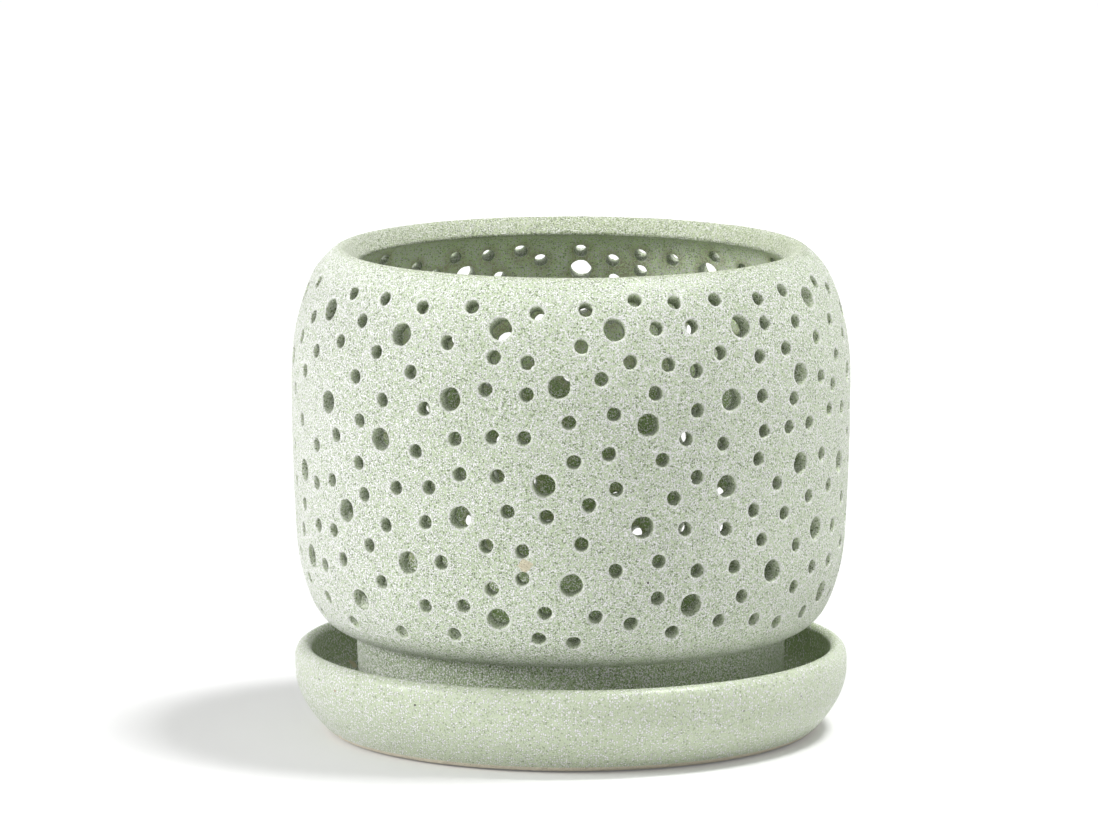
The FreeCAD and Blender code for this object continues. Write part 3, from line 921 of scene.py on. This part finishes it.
def glaze_material(name, glaze, flaws):
    """The glaze of a piece by its place on it, with bare clay where the glaze stops, and its flaws."""
    material = bpy.data.materials.new(name)
    nodes = Nodes(material)
    spot = nodes.add("ShaderNodeTexCoord").outputs["Object"]

    # The body of the glaze varies in soft clouds, and is thinner on the rim, whose darker colour is partly
    # painted shade.
    pooled = nodes.ramp(nodes.noise(spot, CLOUD_SIZE, SOFT_DETAIL), *CLOUD_NOISE, 0.0, CLOUD_SHARE)
    tone = nodes.mix(pooled, glaze.body, glaze.deep)
    rim = nodes.shade("rim")
    # The rim's colour is partly painted shade on the lip's lit top.
    tone = nodes.mix(nodes.maths("MULTIPLY", rim, RIM_SHARE), tone, glaze.rim)

    # A sugary grain: round crystals and pits, a cell each, with crystals that run together among them.
    parts = nodes.add("ShaderNodeSeparateXYZ", {0: spot}).outputs
    # More crystals towards -X, partly painted light on the lit left side.
    lit_frost = nodes.ramp(parts[0], LIT_FROST_FROM, LIT_FROST_TO)
    grain = nodes.noise(spot, glaze.grain, GRAIN_DETAIL, GRAIN_ROUGHNESS, GRAIN_DISTORTION)
    grain = nodes.maths("ADD", grain, nodes.maths("MULTIPLY", lit_frost, LIT_FROST_GRAIN))
    distance, chance = nodes.cells(spot, glaze.cell)
    dot = nodes.ramp(distance, glaze.reach, DOT_FULL * glaze.reach)
    hollow = nodes.ramp(chance, glaze.holes + CHANCE_SOFT, glaze.holes - CHANCE_SOFT)
    hollow = nodes.maths("MULTIPLY", dot, hollow)
    pits = nodes.maths("MAXIMUM", hollow, nodes.ramp(grain, *PIT_GRAIN))
    # Painted shade on the pot's foot inside the saucer, towards the colour of the painted depth shade.
    painted_foot_shade = nodes.ramp(parts[2], FOOT_SHADE_FROM, FOOT_SHADE_TO, 0.0, glaze.sheltered)
    tone = nodes.mix(painted_foot_shade, tone, glaze.depths)
    pits = nodes.maths("MULTIPLY", pits, glaze.pits)
    tone = nodes.mix(pits, tone, glaze.pit)
    chance = nodes.maths("ADD", chance, nodes.maths("MULTIPLY", lit_frost, LIT_FROST_FLECKS))
    least = 1 - glaze.flecks
    fleck = nodes.maths("MULTIPLY", dot, nodes.ramp(chance, least - CHANCE_SOFT, least + CHANCE_SOFT))
    sugar = nodes.ramp(grain, glaze.sugar, glaze.sugar + SUGAR_SOFT, 0.0, glaze.whiteness)
    white = nodes.maths("MAXIMUM", sugar, fleck)
    thin = nodes.maths("SUBTRACT", 1.0, nodes.maths("MULTIPLY", rim, RIM_THIN))
    tone = nodes.mix(nodes.maths("MULTIPLY", white, thin), tone, glaze.crystal)
    # A painted highlight, with thin pale glaze, on the rounding of each outer mouth.
    tone = nodes.mix(nodes.maths("MULTIPLY", nodes.shade("edge"), EDGE_GLAZE_HIGHLIGHT_SHARE), tone, glaze.crystal)

    # The inside, pale near its mouth and painted darker below as painted shade, with a painted shadow under
    # the lip and clay on the burrs of the holes.
    pale = nodes.ramp(parts[2], PALE_FROM, PALE_TO)
    # Painted shade: below its pale top the inside takes the colour of the painted depth shade.
    inside = nodes.mix(pale, glaze.depths, glaze.inside)
    inside = nodes.mix(white, inside, glaze.crystal)
    inside = nodes.mix(nodes.maths("MULTIPLY", pits, INSIDE_PITS), inside, glaze.pit)
    inside = nodes.mix(nodes.maths("MULTIPLY", nodes.shade("under"), UNDER_SHARE), inside, glaze.pit)
    burr = nodes.maths("MULTIPLY", nodes.shade("burr"), nodes.ramp(grain, *BURR_GRAIN, *BURR_SHARES))
    inside = nodes.mix(burr, inside, BURR_CLAY)
    inner = nodes.shade("inner")
    tone = nodes.mix(inner, tone, inside)

    # The bores, painted darker towards the inside as painted shade, and the bare clay where the glaze
    # stops.
    bored = nodes.mix(inner, glaze.bore, glaze.bore_deep)
    bored = nodes.mix(nodes.maths("MULTIPLY", white, BORE_WHITE), bored, glaze.crystal)
    bored = nodes.mix(pits, bored, glaze.pit)
    tone = nodes.mix(nodes.shade("bore"), tone, bored)
    clay = nodes.mix(nodes.noise(spot, CLAY_GRAIN, CLAY_DETAIL), BARE_CLAY, BARE_CLAY_DARK)
    bare = nodes.ramp(nodes.shade("bare"), *BARE_EDGE)
    tone = nodes.mix(bare, tone, clay)
    for place, size, flaw in flaws:
        tone = nodes.mix(nodes.blot(spot, place, size), tone, flaw)

    height = nodes.maths("SUBTRACT", white, nodes.maths("MULTIPLY", pits, PIT_DEPTH))
    bump = nodes.add("ShaderNodeBump", {"Strength": 1.0, "Distance": glaze.bump, "Height": height})
    rough = nodes.ramp(white, 0, 1, glaze.roughness, glaze.roughness + CRYSTAL_ROUGHNESS)
    rough = nodes.maths("ADD", rough, nodes.maths("MULTIPLY", bare, CLAY_ROUGHNESS))
    shader = nodes.add("ShaderNodeBsdfPrincipled", {
        "Base Color": tone,
        "Roughness": rough,
        "Normal": bump.outputs[0],
        "Specular IOR Level": SPECULAR,
    })
    nodes.add("ShaderNodeOutputMaterial", {"Surface": shader.outputs[0]})
    return material


# The studio. The key lamp lights the pot from the left, and a high lamp on the right throws the short
# shadow on the left.
WORLD_LIGHT = 0.38
FLOOR_SIZE = 40.0
FLOOR_COLOUR = (0.8, 0.8, 0.8, 1.0)
FLOOR_GLOW = 0.11
FLOOR_GLOW_FAR = 0.5
FLOOR_NEAR = 0.25
FLOOR_FAR = 1.2
AIM = (0.0, 0.0, 0.07)
# Each lamp as its place, the length of its side and its power in watts.
LAMPS = {
    "key": ((-2.55, -0.85, 1.25), 1.1, 57.0),
    "fill": ((1.9, -1.8, 0.9), 1.5, 5.0),
    "high": ((0.66, 0.0, 1.8), 0.42, 28.0),
}


def seen_directly(nodes):
    """1 for rays that show the background itself, straight or in a reflection."""
    path = nodes.add("ShaderNodeLightPath").outputs
    either = nodes.maths("MAXIMUM", path["Is Camera Ray"], path["Is Glossy Ray"])
    return nodes.maths("MAXIMUM", either, path["Is Transmission Ray"])


def make_world():
    world = bpy.data.worlds.new("studio")
    bpy.context.scene.world = world
    nodes = Nodes(world)
    strength = nodes.ramp(seen_directly(nodes), 0, 1, WORLD_LIGHT, 1.0)
    background = nodes.add("ShaderNodeBackground", {"Color": (1, 1, 1, 1), "Strength": strength})
    nodes.add("ShaderNodeOutputWorld", {"Surface": background.outputs[0]})


def make_floor():
    data = bpy.data.meshes.new("floor")
    half = FLOOR_SIZE / 2
    corners = [(-half, -half, 0), (half, -half, 0), (half, half, 0), (-half, half, 0)]
    data.from_pydata(corners, [], [(0, 1, 2, 3)])
    floor = bpy.data.objects.new("floor", data)
    bpy.context.scene.collection.objects.link(floor)
    material = bpy.data.materials.new("studio_floor")
    nodes = Nodes(material)
    matte = nodes.add("ShaderNodeBsdfDiffuse", {"Color": FLOOR_COLOUR})
    spot = nodes.add("ShaderNodeTexCoord").outputs["Object"]
    away = nodes.add("ShaderNodeVectorMath", {0: spot}, operation="LENGTH").outputs["Value"]
    glow = nodes.ramp(away, FLOOR_NEAR, FLOOR_FAR, FLOOR_GLOW, FLOOR_GLOW_FAR)
    glow = nodes.maths("MULTIPLY", seen_directly(nodes), glow)
    emission = nodes.add("ShaderNodeEmission", {"Color": (1, 1, 1, 1), "Strength": glow})
    both = nodes.add("ShaderNodeAddShader", {0: matte.outputs[0], 1: emission.outputs[0]})
    nodes.add("ShaderNodeOutputMaterial", {"Surface": both.outputs[0]})
    data.materials.append(material)


def make_lamps():
    for name, (place, size, power) in LAMPS.items():
        data = bpy.data.lights.new(name, "AREA")
        data.size = size
        data.energy = power
        lamp = bpy.data.objects.new(name, data)
        lamp.location = place
        lamp.rotation_euler = (Vector(AIM) - Vector(place)).to_track_quat("-Z", "Y").to_euler()
        bpy.context.scene.collection.objects.link(lamp)


def make_camera():
    data = bpy.data.cameras.new("camera")
    data.sensor_width = CAMERA_SENSOR_MM
    data.lens = CAMERA_LENS_MM
    data.clip_end = CAMERA_CLIP_END
    camera = bpy.data.objects.new("camera", data)
    camera.location = (CAMERA_SIDE, -CAMERA_DISTANCE, CAMERA_HEIGHT)
    camera.rotation_euler = (math.radians(90 - CAMERA_PITCH_DEGREES), 0, 0)
    bpy.context.scene.collection.objects.link(camera)
    bpy.context.scene.camera = camera


bpy.context.scene.view_settings.view_transform = "Standard"
make_camera()
make_world()
make_floor()
make_lamps()

PIECES = (
    ("pot", make_pot, POT_GLAZE, POT_FLAWS),
    ("saucer", make_saucer, SAUCER_GLAZE, SAUCER_FLAWS),
)
for node, make, glaze, flaws in PIECES:
    piece = make()
    placed = [(photographed(piece, pixel), size, tone) for pixel, size, tone in flaws]
    placed = [flaw for flaw in placed if flaw[0]]
    piece.data.materials.append(glaze_material(node + "_glaze", glaze, placed))
    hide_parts(node)
    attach(piece, node)
